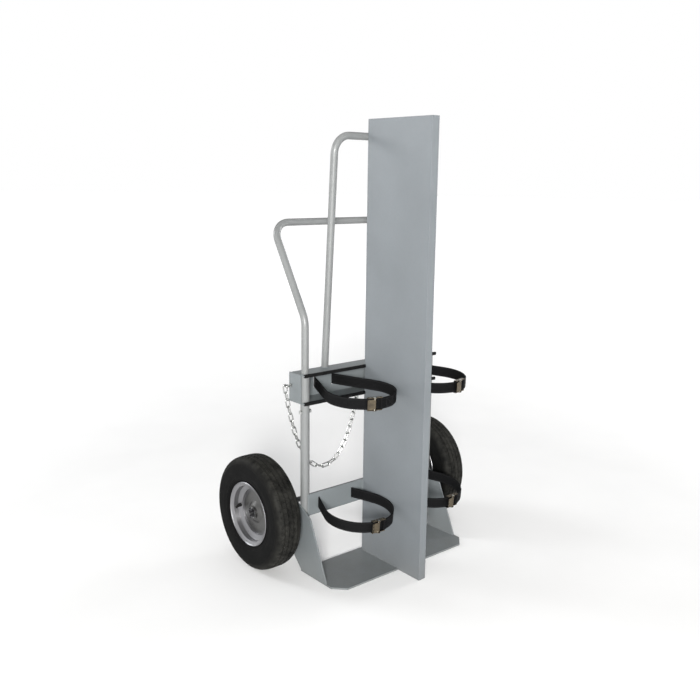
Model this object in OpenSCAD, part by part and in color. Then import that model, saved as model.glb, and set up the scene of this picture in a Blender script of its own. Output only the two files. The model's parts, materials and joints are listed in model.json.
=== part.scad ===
// Two-bay upright trolley on two air-filled wheels, with a barrier panel between the bays.
// X runs across, the open side faces -Y, Z is up from the floor. Millimetres.

/* [Frame] */
// Half of the width across the side plates
frame_half_w = 317; // [290:1:360]
// Wall of the posts
post_wall = 3; // [2.4:0.1:3.2]
// Height of the posts' lower ends
post_bottom = 40; // [36:1:60]
// Thickness of the side plates
side_plate_t = 5; // [4:0.5:8]
// Height of the side plates at their front edge
side_plate_h = 210; // [190:1:230]
// Height of the side plates' rear top corner
side_plate_rear_h = 280; // [265:1:300]
// Radius of the side plates round the axle
axle_lobe_r = 43; // [34:1:50]
// Distance of the axle behind the posts
axle_back = 131; // [110:1:150]
// Thickness of the base plate
base_t = 6; // [5:0.5:10]
// Reach of the base plate in front of the posts
base_reach = 217; // [190:1:240]
// Length cut off each front corner of the base plate
base_corner = 41; // [20:1:60]
// Height of the lower cross plate's bottom edge
cross_plate_z = 204; // [190:1:230]
// Height of the lower cross plate
cross_plate_h = 78; // [60:1:90]
// Thickness of the lower cross plate
cross_plate_t = 6; // [4:0.5:8]
// Height of the mid channel's underside
channel_z = 610; // [540:1:680]
// Height of the mid channel
channel_h = 102; // [90:1:120]
// Depth of the mid channel
channel_d = 83; // [74:1:96]
// Sheet thickness of the mid channel and its end plates
channel_t = 4; // [3:0.5:5]
// Outside radius of the mid channel's folds
fold_r = 5; // [4.5:0.5:8]
// Reach of the channel's flanges in front of the post centres
flange_reach = 20; // [18.5:0.5:24]
// Thickness of the rubber edge trim
trim_t = 3.5; // [1.5:0.5:4]

/* [Rear handle] */
// Outside diameter of the handle and hoop tube
tube_od = 25.4; // [22:0.1:25.6]
// Wall of the handle and hoop tube
tube_wall = 2; // [1.5:0.1:3]
// Clearance of the handle tube inside each post
socket_gap = 0.2; // [0.1:0.05:0.4]
// Length of handle tube inside each post
handle_socket = 232; // [150:1:300]
// Height where the handle legs start to lean back
handle_bend_z = 873; // [800:1:950]
// Lean of the handle's upper part from upright
handle_lean = 31.4; // [20:0.1:40]
// Height of the handle's cross bar
handle_bar_z = 1212; // [1130:1:1300]
// Bend radius where the legs lean back
handle_leg_r = 90; // [60:1:120]
// Bend radius into the cross bar
handle_bar_r = 68; // [50:1:90]
// Diameter of the handle's cross bolts
handle_bolt_d = 8; // [6:0.5:10]
// Drop of the cross bolts below the channel
handle_bolt_drop = 30; // [20:1:60]

/* [Barrier panel] */
// Height of the panel
panel_h = 1563; // [1530:1:1700]
// Depth of the panel, front to back
panel_d = 305; // [280:1:340]
// Thickness of the panel
panel_t = 30; // [24:1:36]
// Offset of the panel from the trolley's middle
panel_x = -28; // [-34:1:-20]
// Sheet thickness of the panel's pan and cover
panel_skin = 1.5; // [1:0.1:2.5]
// Half width of the hoop behind the panel, at its leg centres
hoop_half_w = 176; // [150:1:200]
// Drop of the hoop's top bar below the panel's top
hoop_drop = 57; // [47:1:123]
// Bend radius of the hoop
hoop_bend_r = 60; // [45:1:80]

/* [Belts and buckles] */
// Distance of each bay's centre from the trolley's middle
bay_x = 170; // [168:1:180]
// Inside radius of a closed belt
belt_r = 118.5; // [108:0.5:119]
// Width of a belt
belt_w = 38; // [30:1:42]
// Thickness of a belt
belt_t = 3.5; // [2.5:0.5:4]
// Half spacing of the upper belts' slots
upper_slot_half = 40; // [34:1:60]
// Half spacing of the lower belts' slots
lower_slot_half = 75; // [66:1:84]
// Droop of the upper belts towards the front, in degrees
upper_droop = 2; // [0:0.5:4]
// Droop of the lower belts towards the front, in degrees
lower_droop = 5; // [0:0.5:6]
// Length of a buckle along its belt
buckle_l = 52; // [44:1:56]
// Sheet thickness of a buckle
buckle_t = 2.2; // [1.5:0.1:3]
// Diameter of a buckle's hinge pin
buckle_pin_d = 5; // [4:0.5:6]
// Length of a lever's thumb plate beyond its hinge pin
lever_l = 27; // [22:1:32]

/* [Chains] */
// Diameter of the chain's wire
chain_wire = 4.5; // [4:0.1:5]
// Inside length of a link
link_in_l = 27; // [25:0.5:30]
// Outside width of a link
link_w = 18; // [16.5:0.1:20]
// Number of links in the left chain
left_links = 25; // [25:2:27]
// Number of links in the right chain
right_links = 29; // [29:2:31]
// Diameter of the eye bolts' and hooks' rod
eye_rod = 6; // [5:0.5:7]
// Middle radius of an eye
eye_r = 9; // [8:0.5:11]
// Height of the eye bolts above the channel's underside
eye_rise = 57; // [40:1:70]

/* [Wheels] */
// Outside diameter of a tyre
tyre_od = 406; // [380:1:430]
// Width of a tyre
tyre_w = 100; // [90:1:106]
// Gap between each side plate and its tyre
wheel_gap = 36.7; // [30:0.1:60]
// Radius of the rim's flange
rim_r = 115; // [108:0.5:120]
// Width of the rim across its flanges
rim_w = 92; // [84:1:94]
// Sheet thickness of the rim halves
rim_t = 2.5; // [2:0.1:3]
// Diameter of the axle
axle_d = 19; // [16:0.5:22]
// Outside diameter of the wheel bearings
bearing_od = 35; // [32:0.5:40]
// Width of a wheel bearing
bearing_w = 11; // [9:0.5:14]
// Wall of the hub tube
hub_wall = 4; // [3:0.5:6]
// Blocks along each shoulder of a tread
tread_blocks = 44; // [24:1:60]

/* [Hidden] */
$fn = 64;

// Shared clearances
weld_gap = 0.1;
run_gap = 0.05;
seat_gap = 0.3;
LEFT = -1;
RIGHT = 1;
UPPER = 1;
LOWER = 0;

// Colours
paint = [0.62, 0.65, 0.66];
black = [0.06, 0.06, 0.065];
rubber = [0.09, 0.09, 0.095];
silver = [0.72, 0.73, 0.74];
zinc = [0.78, 0.79, 0.78];
brass = [0.66, 0.55, 0.30];
board = [0.83, 0.80, 0.74];

// Frame places, front to back. The panel's front and the tyres' backs lie equally far from Y = 0.
base_tuck = 5;
side_setback = 26;
side_brow = 58;
side_rear = 68;
tube_r = tube_od / 2;
tube_bore = tube_r - tube_wall;
post_bore = tube_r + socket_gap;
post_r = post_bore + post_wall;
post_od = 2 * post_r;
tyre_r = tyre_od / 2;
wheel_x = frame_half_w + wheel_gap + tyre_w / 2;
plate_seat = post_r + weld_gap;
post_y = (plate_seat + panel_d - axle_back - tyre_r) / 2;
panel_back = post_y - plate_seat;
panel_front = panel_back - panel_d;
axle_y = post_y + axle_back;
axle_z = tyre_r;
base_front = post_y - base_reach;
base_back = post_y - base_tuck;
side_front = base_front + base_corner + side_setback;
flange_front = post_y - flange_reach;
web_back = flange_front + channel_d;
web_front = web_back - channel_t;
channel_top = channel_z + channel_h;
side_in = frame_half_w - side_plate_t;
post_x = side_in - weld_gap - post_r;
end_in = frame_half_w - channel_t;
trim_front = flange_front - trim_t;
trim_back = post_y - plate_seat - 0.4;
panel_left = panel_x - panel_t / 2;
panel_right = panel_x + panel_t / 2;

// Bays and belts
bay_y = trim_front - 1 - belt_r;
belt_mid = belt_r + belt_t / 2;
flat_l = buckle_l + 10;
flat_half = asin(flat_l / 2 / belt_mid);
flat_in = belt_mid * cos(flat_half) - belt_t / 2;
slot_w = 9;
slot_h = belt_w + 4;
upper_belt_z = channel_z + channel_h / 2;
lower_belt_z = cross_plate_z + cross_plate_h / 2;
function belt_z(level) = level == UPPER ? upper_belt_z : lower_belt_z;
function belt_face(level) = level == UPPER ? web_front : panel_back;
function belt_back(level) = level == UPPER ? web_back : panel_back + cross_plate_t;
function slot_half(level) = level == UPPER ? upper_slot_half : lower_slot_half;
function droop(level) = level == UPPER ? upper_droop : lower_droop;
function buckle_angle(side, level) =
    side == LEFT ? (level == UPPER ? 253 : 264) : (level == UPPER ? 280 : 272);

// Buckle places, measured outwards from the belt's inner face
pin_r = buckle_pin_d / 2;
cheek_in = belt_w / 2 + 1;
cheek_out = cheek_in + buckle_t;
cam_r = 5;
cam_shift = 1.2;
pivot_x = belt_t + seat_gap + cam_r + cam_shift;
pivot_y = 3;
lever_w = belt_w - 4;

// Chains
link_gap = 0.7;
nut_af = 13;
nut_t = 6.5;
link_step = link_in_l - link_gap;
eye_x = frame_half_w + nut_t + 0.5 + eye_r + eye_rod / 2;
eye_y = web_front - 9;
eye_z = channel_z + eye_rise;
hook_r = 9;
hook_y = belt_back(LOWER) + belt_t + link_w;
hook_off = 14;
chain_wire_r = chain_wire / 2;
rod_r = eye_rod / 2;

// Wheel places, measured outboard from the wheel's middle plane
hub_in = -38;
hub_out = 26;
bearing_r = bearing_od / 2;
hub_r = bearing_r + hub_wall;
axle_r = axle_d / 2;
washer_t = 2.5;
axle_end = wheel_x + hub_out + washer_t + 14;
bead_r = rim_r - 13.5;
well_r = bead_r - 17;
rim_half = rim_w / 2;
seat_end = [rim_half - 8, bead_r];
flare = [rim_half - 3, rim_r - 4];
rim_line = [[0, well_r], [12, well_r], [20, bead_r], seat_end, flare, [rim_half, rim_r - rim_t / 2]];
disc_line = [[6, well_r], [9, well_r - 16], [11, hub_r + 18], [19, hub_r + 4], [19, hub_r]];
side_r = tyre_r - 45;

function total(list, i = 0) = i < len(list) ? list[i] + total(list, i + 1) : 0;

// Outline of a strip of thickness t along a line of points, with mitred corners.
function unit(v) = v / norm(v);
function left_of(v) = [-v[1], v[0]];
function mitre(points, i) =
    let (last = len(points) - 1)
    let (a = i > 0 ? unit(points[i] - points[i - 1]) : unit(points[1] - points[0]))
    let (b = i < last ? unit(points[i + 1] - points[i]) : a)
    let (n = left_of(unit(a + b)))
    n / (n * left_of(a));
function strip(points, t) = concat(
    [for (i = [0 : len(points) - 1]) points[i] + mitre(points, i) * t / 2],
    [for (i = [len(points) - 1 : -1 : 0]) points[i] - mitre(points, i) * t / 2]);

// A round rod drawn as runs and bends, each starting where the last one ended, heading along Z.
// A bend is a hair slimmer than a run and laps into the runs at its ends.
module run(length, r) {
    cylinder(h = length, r = r);
    translate([0, 0, length]) children();
}
module bend(bend_r, angle, r, roll = 0) {
    lap = atan(0.5 / bend_r);
    slim = 0.15;
    rotate([0, 0, roll]) {
        rotate([-90, 0, 0]) rotate([0, 0, 180]) translate([-bend_r, 0, 0]) rotate([0, 0, -lap])
            rotate_extrude(angle = angle + 2 * lap) translate([bend_r, 0]) circle(r = r - slim);
        translate([bend_r * (1 - cos(angle)), 0, bend_r * sin(angle)]) rotate([0, angle, 0]) children();
    }
}
module both_sides() {
    for (side = [LEFT, RIGHT]) scale_x(side) children();
}
module scale_x(side) {
    if (side == LEFT) mirror([1, 0, 0]) children();
    else children();
}
module block(x, y, z) {
    translate([x[0], y[0], z[0]]) cube([x[1] - x[0], y[1] - y[0], z[1] - z[0]]);
}
module hex_nut(af, bore_r, h) {
    difference() {
        cylinder(h = h, d = af / cos(30), $fn = 6);
        translate([0, 0, -1]) cylinder(h = h + 2, r = bore_r);
    }
}

// Base plate, slotted from the front for the panel
module base_plate() {
    corner_x = frame_half_w - base_corner;
    color(paint) difference() {
        linear_extrude(base_t) polygon([
            [-frame_half_w, base_back], [-frame_half_w, base_front + base_corner], [-corner_x, base_front],
            [corner_x, base_front], [frame_half_w, base_front + base_corner], [frame_half_w, base_back]]);
        block([panel_left - weld_gap, panel_right + weld_gap], [base_front - 1, panel_back + weld_gap],
            [-1, base_t + 1]);
    }
}

// Side plate: rises from the base, runs back to the axle and ends round it
lean_top = [post_y + side_rear, side_plate_rear_h];
function tangent_angle(from, centre, r) =
    let (v = from - centre)
    atan2(v[1], v[0]) - acos(r / norm(v));
module side_plate(side) {
    axle_at = [axle_y, axle_z];
    rear_bottom = [base_back, base_t];
    top_a = tangent_angle(lean_top, axle_at, axle_lobe_r);
    low_a = 2 * atan2(rear_bottom[1] - axle_z, rear_bottom[0] - axle_y)
        - tangent_angle(rear_bottom, axle_at, axle_lobe_r);
    color(paint) scale_x(side) translate([side_in, 0, 0]) rotate([90, 0, 90]) difference() {
        union() {
            linear_extrude(side_plate_t) polygon([rear_bottom,
                axle_at + axle_lobe_r * [cos(low_a), sin(low_a)], axle_at,
                axle_at + axle_lobe_r * [cos(top_a), sin(top_a)],
                lean_top, [post_y - side_brow, side_plate_h], [side_front, base_t]]);
            translate(axle_at) cylinder(h = side_plate_t, r = axle_lobe_r);
        }
        translate([axle_y, axle_z, -1]) cylinder(h = side_plate_t + 2, r = axle_r + run_gap);
    }
}
module left_side_plate() {
    side_plate(LEFT);
}
module right_side_plate() {
    side_plate(RIGHT);
}

// Posts, bored for the handle's legs
bolt_z = channel_z - handle_bolt_drop;
bolt_r = handle_bolt_d / 2;
module bolt_hole(r) {
    translate([-post_od, 0, bolt_z]) rotate([0, 90, 0]) cylinder(h = 2 * post_od, r = r);
}
module post(side) {
    color(paint) translate([side * post_x, post_y, 0]) difference() {
        translate([0, 0, post_bottom]) cylinder(h = channel_top - post_bottom, r = post_r);
        translate([0, 0, post_bottom - 1]) cylinder(h = channel_top, r = post_bore);
        bolt_hole(bolt_r + run_gap);
    }
}
module left_post() {
    post(LEFT);
}
module right_post() {
    post(RIGHT);
}
module post_holes() {
    both_sides() translate([post_x, post_y, -1]) cylinder(h = channel_top + 2, r = post_r + weld_gap);
}
module belt_slots(level) {
    face = belt_face(level);
    for (x = [-bay_x, bay_x], half = [-1, 1])
        translate([x + half * slot_half(level), face, belt_z(level)])
            cube([slot_w, 4 * cross_plate_t, slot_h], center = true);
}

// Lower cross plate, let in between the posts
module lower_cross_plate() {
    color(paint) difference() {
        block([-post_x, post_x], [panel_back, panel_back + cross_plate_t],
            [cross_plate_z, cross_plate_z + cross_plate_h]);
        post_holes();
        belt_slots(LOWER);
    }
}

// Mid channel, folded from sheet and open to the front
module mid_channel() {
    fold_y = web_back - fold_r;
    fold_low = channel_z + fold_r;
    fold_high = channel_top - fold_r;
    color(paint) difference() {
        union() {
            for (z = [channel_z, channel_top - channel_t])
                block([-end_in, end_in], [flange_front, fold_y], [z, z + channel_t]);
            block([-end_in, end_in], [web_front, web_back], [fold_low, fold_high]);
            for (z = [[fold_low, channel_z], [fold_high, channel_top]]) intersection() {
                along_x(-end_in, fold_y, z[0]) ring(fold_r - channel_t, fold_r, 2 * end_in);
                block([-frame_half_w, frame_half_w], [fold_y, web_back], [min(z), max(z)]);
            }
        }
        post_holes();
        belt_slots(UPPER);
        block([panel_left - weld_gap, panel_right + weld_gap], [flange_front - 1, panel_back + weld_gap],
            [channel_z - 1, channel_top + 1]);
    }
}
module end_plate(side) {
    color(paint) difference() {
        scale_x(side) block([end_in, frame_half_w], [post_y - 2, web_back], [channel_z, channel_top]);
        translate([side * end_in, eye_y, eye_z]) rotate([0, 90, 0])
            cylinder(h = 4 * channel_t, r = rod_r + run_gap, center = true);
    }
}
module left_end_plate() {
    end_plate(LEFT);
}
module right_end_plate() {
    end_plate(RIGHT);
}

// Rubber trim that caps a flange's front edge, one length in each bay
module edge_trim(z) {
    for (x = [[-end_in, panel_left - 1], [panel_right + 1, end_in]])
        difference() {
            block(x, [trim_front, trim_back], [z - trim_t, z + channel_t + trim_t]);
            block([x[0] - 1, x[1] + 1], [flange_front - weld_gap, trim_back + 1],
                [z - weld_gap, z + channel_t + weld_gap]);
        }
}
module upper_edge_trim() {
    color(black) edge_trim(channel_top - channel_t);
}
module lower_edge_trim() {
    color(black) edge_trim(channel_z);
}

// Rear handle: one tube from post to post
module handle_line(r) {
    start_z = channel_top - handle_socket;
    rise = handle_bar_z - handle_bend_z - handle_leg_r * sin(handle_lean);
    lean_run = rise / cos(handle_lean) - handle_bar_r;
    translate([post_x, post_y, start_z])
        run(handle_bend_z - start_z, r)
        bend(handle_leg_r, handle_lean, r, roll = 90)
        run(lean_run, r)
        bend(handle_bar_r, 90, r, roll = 90)
        run(2 * (post_x - handle_bar_r), r)
        bend(handle_bar_r, 90, r)
        run(lean_run, r)
        bend(handle_leg_r, handle_lean, r, roll = -90)
        run(handle_bend_z - start_z, r);
}
module rear_handle() {
    color(paint) difference() {
        handle_line(tube_r);
        handle_line(tube_bore);
        both_sides() translate([post_x, post_y, channel_top - handle_socket - 1])
            cylinder(h = 3, r = tube_bore + tube_wall / 4);
        both_sides() translate([post_x, post_y, 0]) bolt_hole(bolt_r + run_gap);
    }
}

// Cross bolts and nuts that pin the handle in the posts
module handle_bolts() {
    head_t = 5.3;
    color(zinc) both_sides() translate([post_x, post_y, bolt_z]) rotate([0, -90, 0]) {
        translate([0, 0, -post_r - head_t]) {
            cylinder(h = head_t, d = nut_af / cos(30), $fn = 6);
            cylinder(h = head_t + post_od + nut_t + 2, r = bolt_r);
        }
        translate([0, 0, post_r]) hex_nut(nut_af, bolt_r + run_gap, nut_t);
    }
}

// Barrier panel: pan with folded edges, cover sheet set inside them, board core
module panel_box(inset, x) {
    block(x, [panel_front + inset, panel_back - inset], [inset, panel_h - inset]);
}
module panel_pan() {
    color(paint) difference() {
        panel_box(0, [panel_left, panel_right]);
        panel_box(panel_skin, [panel_left + panel_skin, panel_right + 1]);
    }
}
module panel_cover() {
    inset = panel_skin + seat_gap;
    color(paint) panel_box(inset, [panel_right - panel_skin, panel_right]);
}
module panel_core() {
    inset = panel_skin + seat_gap;
    color(board) panel_box(inset, [panel_left + panel_skin + weld_gap, panel_right - panel_skin - weld_gap]);
}

// Hoop: stands on the channel and leans forward to the panel's back edge
hoop_bar_z = panel_h - hoop_drop;
hoop_foot = [web_back - fold_r - tube_r, channel_top];
hoop_top = [panel_back + tube_r + weld_gap, hoop_bar_z];
hoop_lean = atan((hoop_foot[0] - hoop_top[0]) / (hoop_top[1] - hoop_foot[1]));
module hoop_line(r) {
    below = 20;
    leg = norm(hoop_top - hoop_foot) - hoop_bend_r;
    translate([0, hoop_foot[0], hoop_foot[1]]) rotate([hoop_lean, 0, 0])
        translate([hoop_half_w, 0, -below])
            run(leg + below, r)
            bend(hoop_bend_r, 90, r, roll = 180)
            run(2 * (hoop_half_w - hoop_bend_r), r)
            bend(hoop_bend_r, 90, r)
            run(leg + below, r);
}
module panel_hoop() {
    color(paint) difference() {
        hoop_line(tube_r);
        hoop_line(tube_bore);
        block([-frame_half_w, frame_half_w], [post_y - 100, post_y + 100], [channel_top - 60, channel_top]);
    }
}

// Axle and what keeps the wheels on it
module along_x(x, y, z) {
    translate([x, y, z]) rotate([0, 90, 0]) children();
}
pin_hole_r = 2;
cotter_x = axle_end - 7;
module axle() {
    chamfer = 1.5;
    color(black) difference() {
        along_x(-axle_end, axle_y, axle_z) rotate_extrude() polygon([[0, 0], [axle_r - chamfer, 0],
            [axle_r, chamfer], [axle_r, 2 * axle_end - chamfer], [axle_r - chamfer, 2 * axle_end],
            [0, 2 * axle_end]]);
        both_sides() translate([cotter_x, axle_y, axle_z])
            cylinder(h = 2 * axle_d, r = pin_hole_r + run_gap, center = true);
    }
}
module ring(r_in, r_out, h) {
    difference() {
        cylinder(h = h, r = r_out);
        translate([0, 0, -1]) cylinder(h = h + 2, r = r_in);
    }
}
module axle_spacers() {
    spacer_end = wheel_x + hub_in - seat_gap;
    color(black) both_sides() along_x(frame_half_w, axle_y, axle_z)
        ring(axle_r + run_gap, axle_r + 4, spacer_end - frame_half_w);
}
module axle_washers() {
    color(zinc) both_sides() along_x(wheel_x + hub_out + seat_gap, axle_y, axle_z)
        ring(axle_r + run_gap, axle_r + 7, washer_t);
}
module cotter_pins() {
    eye = 4;
    color(zinc) both_sides() translate([cotter_x, axle_y, axle_z]) {
        translate([0, 0, -axle_r - 7]) cylinder(h = axle_d + 9, r = pin_hole_r);
        translate([0, 0, axle_r + 2 + eye]) rotate([90, 0, 0])
            rotate_extrude() translate([eye, 0]) circle(r = pin_hole_r - 0.4);
    }
}

// Belts: a loop through two slots in the member behind, with a flat where the buckle sits
module belt_frame(side, level) {
    translate([side * bay_x, belt_face(level), belt_z(level)]) rotate([droop(level), 0, 0])
        translate([0, bay_y - belt_face(level), 0]) children();
}
function arc_points(from, to, steps = 24) =
    [for (i = [0 : steps]) let (a = from + (to - from) * i / steps) belt_mid * [cos(a), sin(a)]];
module belt(side, level) {
    mid_y = (belt_face(level) + belt_back(level)) / 2 - bay_y;
    slot_at = [slot_half(level), mid_y];
    leave = atan2(mid_y, slot_at[0]) - acos(belt_mid / norm(slot_at));
    leave_at = belt_mid * [cos(leave), sin(leave)];
    heading = unit(slot_at - leave_at);
    behind = belt_back(level) + weld_gap - bay_y;
    reach = leave_at[0] + heading[0] * (behind + belt_t / 2 - leave_at[1]) / heading[1];
    buckle_a = buckle_angle(side, level);
    end_y = behind + belt_t / 2;
    line = concat([[-reach, end_y]], arc_points(180 - leave, buckle_a - flat_half),
        arc_points(buckle_a + flat_half, 360 + leave), [[reach, end_y]]);
    color(black) {
        belt_frame(side, level) translate([0, 0, -belt_w / 2])
            linear_extrude(belt_w) polygon(strip(line, belt_t));
        translate([side * bay_x, belt_back(level) + weld_gap, belt_z(level)])
            block([-reach - belt_t, reach + belt_t], [0, belt_t], [-belt_w / 2, belt_w / 2]);
    }
}
module left_upper_belt() {
    belt(LEFT, UPPER);
}
module left_lower_belt() {
    belt(LEFT, LOWER);
}
module right_upper_belt() {
    belt(RIGHT, UPPER);
}
module right_lower_belt() {
    belt(RIGHT, LOWER);
}

// Cam buckles. Here X points away from the belt, Y along it to the left and Z across its width.
module buckle_frame(side, level) {
    belt_frame(side, level) rotate([0, 0, buckle_angle(side, level)]) translate([flat_in, 0, 0])
        rotate([180, 0, 0]) children();
}
module buckle(side, level) {
    back = -weld_gap - buckle_t;
    bar_r = 2.5;
    bar_in = 0.5;
    bar_lap = 1;
    hump_r = 7;
    cheek_top = belt_t + 6;
    color(brass) buckle_frame(side, level) {
        block([back, -weld_gap], [-buckle_l / 2, buckle_l / 2], [-cheek_out, cheek_out]);
        for (z = [-cheek_out, cheek_in]) translate([0, 0, z]) difference() {
            union() {
                block([back, cheek_top], [-buckle_l / 2, buckle_l / 2], [0, buckle_t]);
                translate([pivot_x, pivot_y, 0]) cylinder(h = buckle_t, r = hump_r);
            }
            translate([pivot_x, pivot_y, -1]) cylinder(h = buckle_t + 2, r = pin_r + run_gap);
        }
        translate([belt_t + seat_gap + bar_r, -buckle_l / 2 + bar_in + bar_r, 0])
            cylinder(h = 2 * (cheek_in + bar_lap), r = bar_r, center = true);
    }
}
module lever(side, level) {
    plate_t = 2;
    plate_x = cam_r - plate_t / 2 - 0.4;
    lip = 6;
    color(brass) buckle_frame(side, level) translate([pivot_x, pivot_y, -lever_w / 2]) difference() {
        union() {
            cylinder(h = lever_w, r = cam_r);
            translate([-cam_shift, 0, 0]) cylinder(h = lever_w, r = cam_r);
            linear_extrude(lever_w) polygon(strip([[plate_x, 0], [plate_x, lever_l - lip],
                [plate_x + lip / 2, lever_l]], plate_t));
        }
        translate([0, 0, -1]) cylinder(h = lever_w + 2, r = pin_r + run_gap);
    }
}
module buckle_pin(side, level) {
    head_t = 1.2;
    head_r = pin_r + 1.5;
    buckle_frame(side, level) translate([pivot_x, pivot_y, 0]) {
        cylinder(h = 2 * cheek_out, r = pin_r, center = true);
        for (z = [-cheek_out - head_t, cheek_out]) translate([0, 0, z]) cylinder(h = head_t, r = head_r);
    }
}
module left_upper_buckle() {
    buckle(LEFT, UPPER);
}
module left_lower_buckle() {
    buckle(LEFT, LOWER);
}
module right_upper_buckle() {
    buckle(RIGHT, UPPER);
}
module right_lower_buckle() {
    buckle(RIGHT, LOWER);
}
module left_upper_lever() {
    lever(LEFT, UPPER);
}
module left_lower_lever() {
    lever(LEFT, LOWER);
}
module right_upper_lever() {
    lever(RIGHT, UPPER);
}
module right_lower_lever() {
    lever(RIGHT, LOWER);
}
module buckle_pins() {
    color(zinc) for (side = [LEFT, RIGHT], level = [LOWER, UPPER]) buckle_pin(side, level);
}

// Chains. Each hangs by its own weight from an eye to a hook: the slope of the links grows evenly
// from one to the next, and low_link is the link that lies level.
function link_count(side) = side == LEFT ? left_links : right_links;
function low_link(side) = 0.545 * link_count(side);
function eye_at(side) = [side * (eye_x + eye_r), eye_y, eye_z];
function hook_x(side) = side == LEFT ? panel_left - hook_off : panel_right + hook_off;
function chain_way(side) = [hook_x(side) - eye_at(side)[0], hook_y - eye_y];
function link_pitch(side, i, bow) = atan(bow * (i - low_link(side)));
function chain_span(side, bow) =
    link_step * total([for (i = [0 : link_count(side) - 1]) cos(link_pitch(side, i, bow))]);
function find_bow(side, low, high, tries = 40) =
    let (mid = (low + high) / 2)
    tries == 0 ? mid
    : chain_span(side, mid) > norm(chain_way(side)) ? find_bow(side, mid, high, tries - 1)
    : find_bow(side, low, mid, tries - 1);
function link_dir(side, i, bow) =
    let (way = unit(chain_way(side)))
    let (pitch = link_pitch(side, i, bow))
    [way[0] * cos(pitch), way[1] * cos(pitch), sin(pitch)];
function chain_points(side) =
    let (bow = find_bow(side, 0.001, 4))
    [for (i = 0, at = eye_at(side) + [0, 0, rod_r]; i <= link_count(side);
        at = at + link_step * link_dir(side, i, bow), i = i + 1) at];
function hook_at(side) = chain_points(side)[link_count(side)] - [0, 0, rod_r + seat_gap];

// One welded link, lying along X in the XY plane
module link() {
    bend_mid = (link_w - chain_wire) / 2;
    half = (link_in_l - link_w) / 2 + chain_wire;
    for (turn = [0, 180]) rotate([0, 0, turn]) {
        translate([half, 0, 0]) rotate([0, 0, -90]) rotate_extrude(angle = 180, $fn = 32)
            translate([bend_mid, 0]) circle(r = chain_wire_r, $fn = 24);
        translate([-half, bend_mid, 0]) rotate([0, 90, 0]) cylinder(h = 2 * half, r = chain_wire_r, $fn = 24);
    }
}
module chain(side) {
    points = chain_points(side);
    color(zinc) for (i = [0 : len(points) - 2]) {
        step = points[i + 1] - points[i];
        pitch = asin(step[2] / norm(step));
        translate((points[i] + points[i + 1]) / 2)
            rotate([i % 2 == 0 ? 90 : 0, -pitch, atan2(step[1], step[0])]) link();
    }
}
module left_chain() {
    chain(LEFT);
}
module right_chain() {
    chain(RIGHT);
}
module chain_eyes() {
    color(zinc) for (side = [LEFT, RIGHT]) scale_x(side) {
        translate([eye_x, eye_y, eye_z]) rotate_extrude() translate([eye_r, 0]) circle(r = rod_r);
        along_x(end_in - nut_t - 3, eye_y, eye_z)
            cylinder(h = eye_x - eye_r - end_in + nut_t + 3, r = rod_r);
        for (x = [end_in - nut_t, frame_half_w]) along_x(x, eye_y, eye_z)
            hex_nut(nut_af - 2, rod_r + run_gap, nut_t);
    }
}
module chain_hooks() {
    tip = 5;
    color(zinc) for (side = [LEFT, RIGHT]) {
        shank = channel_z - hook_at(side)[2] - hook_r;
        way = chain_way(side);
        translate([hook_at(side)[0], hook_at(side)[1], channel_z])
            rotate([0, 0, atan2(way[1], way[0]) + (side == LEFT ? 90 : -90)])
                translate([hook_r, 0, 0]) rotate([180, 0, 0])
                    run(shank, rod_r)
                    bend(hook_r, 180, rod_r, roll = 180)
                    run(tip, rod_r);
    }
}

// Wheels. Here Z points outboard from the wheel's middle plane.
module wheel(side) {
    translate([side * wheel_x, axle_y, axle_z]) rotate([0, side * 90, 0]) children();
}
function crown(w, h, t) = [w * pow(sin(t), 0.5), side_r + h * pow(cos(t), 0.5)];
function wall(w, foot, t) = [foot[0] + (w - foot[0]) * cos(t), side_r - (side_r - foot[1]) * sin(t)];
function half_section(w, h, foot) = concat(
    [for (t = [1 : 8 : 89]) crown(w, h, t)],
    [for (t = [10 : 16 : 90]) wall(w, foot, t)]);
function flip(points) = [for (i = [len(points) - 1 : -1 : 0]) [-points[i][0], points[i][1]]];
function turned(points) = [for (p = points) [p[1], p[0]]];
bead_w = rim_half - rim_t - 0.6;
bead_low = [seat_end[0] - 1.2, bead_r + rim_t / 2 + seat_gap];
bead_high = [flare[0] - 1.6, flare[1] + 0.8];
module tyre(side) {
    tread_d = 5;
    groove_w = 3.5;
    notch = [8, 5, 14];
    rib_x = [-27, -10, 10, 27];
    outer = half_section(tyre_w / 2, tyre_r - side_r, [bead_w, rim_r + 4]);
    inner = half_section(tyre_w / 2 - 7, tyre_r - side_r - 11, [bead_w - 9, rim_r + 4]);
    bead = [bead_high, bead_low, [bead_w - 14, bead_low[1]]];
    half = concat(outer, bead, [for (i = [len(inner) - 1 : -1 : 0]) inner[i]]);
    color(rubber) wheel(side) difference() {
        rotate_extrude($fn = 96) polygon(turned(concat(half, flip(half))));
        rotate_extrude($fn = 96) for (x = rib_x)
            translate([tyre_r - tread_d, x - groove_w / 2]) square([tread_d + 1, groove_w]);
        for (i = [0 : tread_blocks - 1], end = [-1, 1])
            rotate([0, 0, (i + end / 4) * 360 / tread_blocks])
                translate([tyre_r - tread_d, -notch[1] / 2, end * (tyre_w / 2 - 8) - notch[2] / 2])
                    cube(notch);
    }
}
module inner_tube(side) {
    gap = 1;
    wall_t = 2.5;
    half_w = tyre_w / 2 - 7 - gap;
    rise = tyre_r - side_r - 11 - gap;
    outer = half_section(half_w, rise, [bead_w - 18, rim_r + 2]);
    inner = half_section(half_w - wall_t, rise - wall_t, [bead_w - 20, rim_r + 2 + wall_t]);
    color(black) wheel(side) rotate_extrude($fn = 96) difference() {
        polygon(turned(concat(outer, flip(outer))));
        polygon(turned(concat(inner, flip(inner))));
    }
}

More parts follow.
